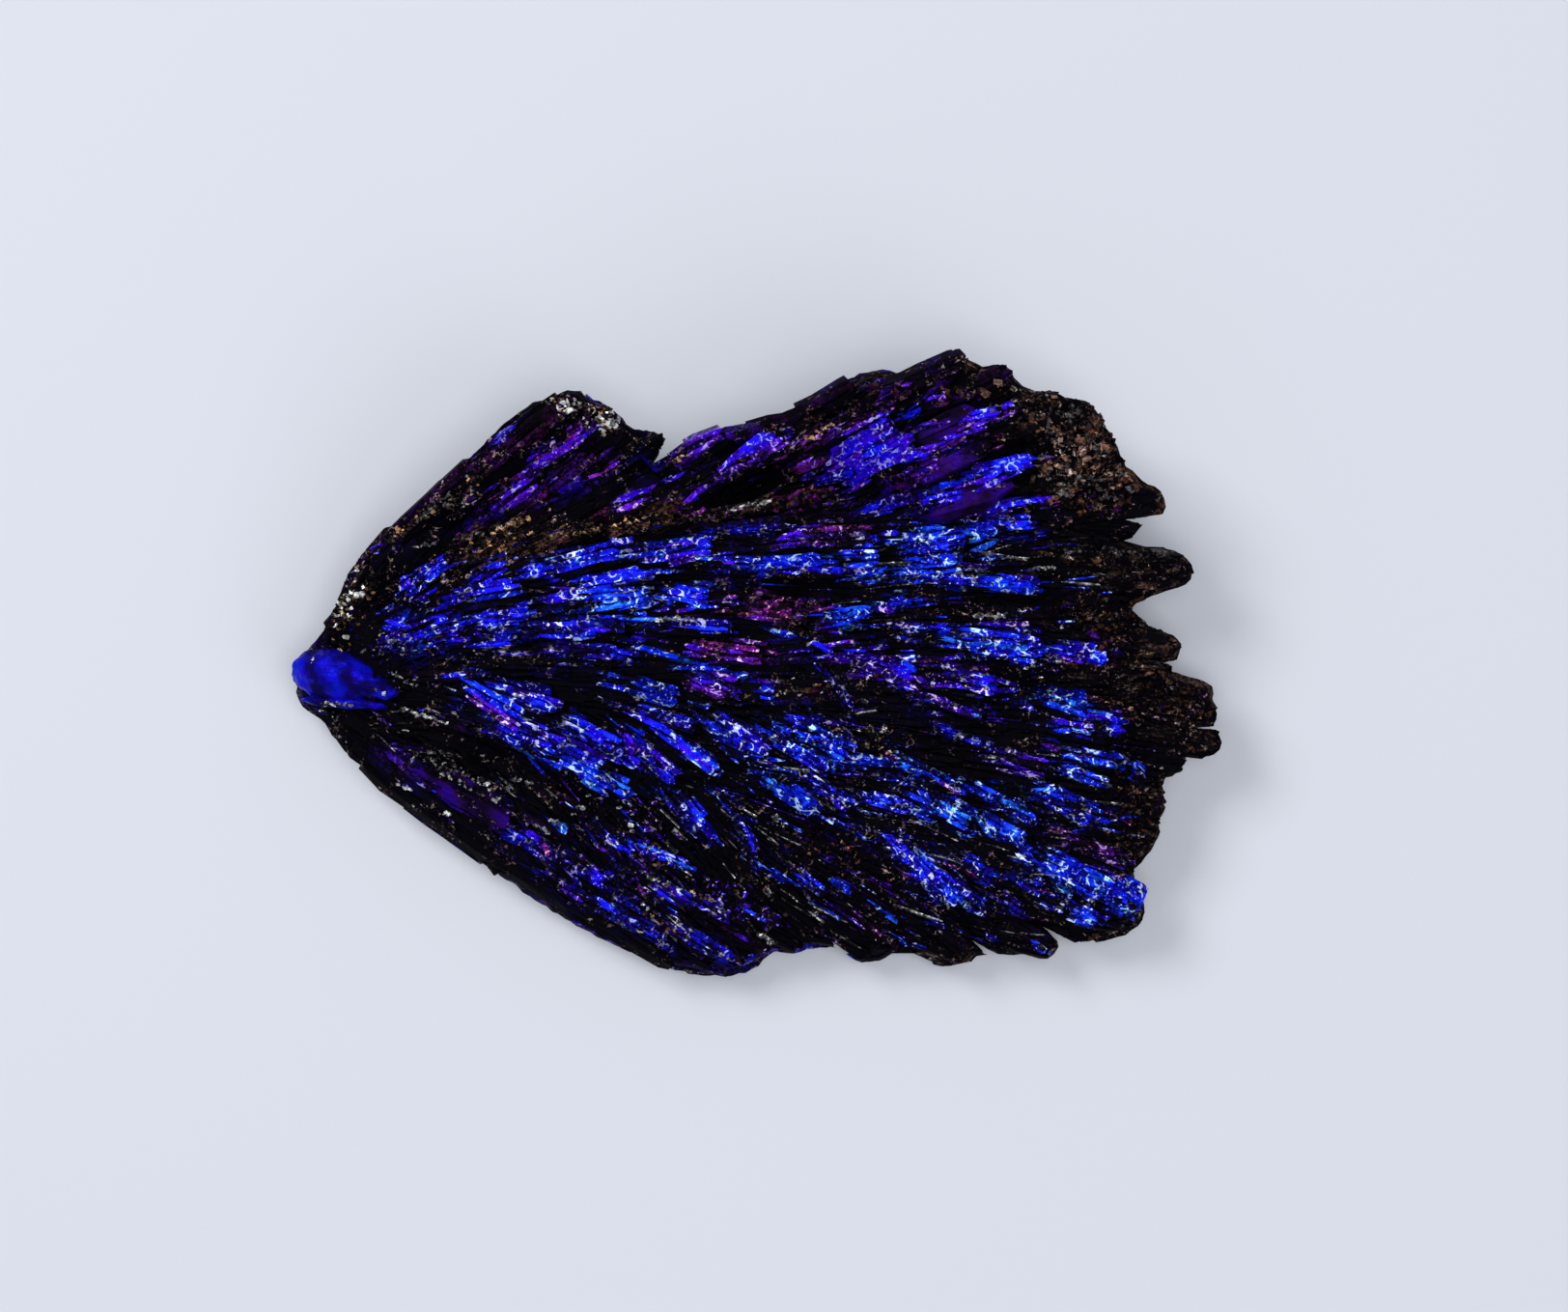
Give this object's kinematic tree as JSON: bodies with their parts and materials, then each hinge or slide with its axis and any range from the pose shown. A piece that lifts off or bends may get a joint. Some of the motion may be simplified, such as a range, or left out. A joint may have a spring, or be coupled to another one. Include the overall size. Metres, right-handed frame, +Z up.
{
  "type": "kyanite crystal fan",
  "caption": "Natural fan of dark kyanite blades grown from one root, with an iridescent blue and violet titanium film. It lies flat on its lower blades.",
  "frame": {"origin": "below the middle of the fan's box, on the surface it lies on", "axes": "+X from the root to the blade tips, +Y towards the raised wings, +Z up from the surface it lies on"},
  "size_m": [0.039, 0.0258, 0.0096],
  "materials": {
    "titanium_aura": "dark bladed mineral under a thin iridescent titanium film: metallic royal blue, azure and violet blade faces, near-black hollows, bronze and grey broken ends"
  },
  "bodies": {
    "root": {"kyanite_fan": "titanium_aura"}
  },
  "joints": []
}
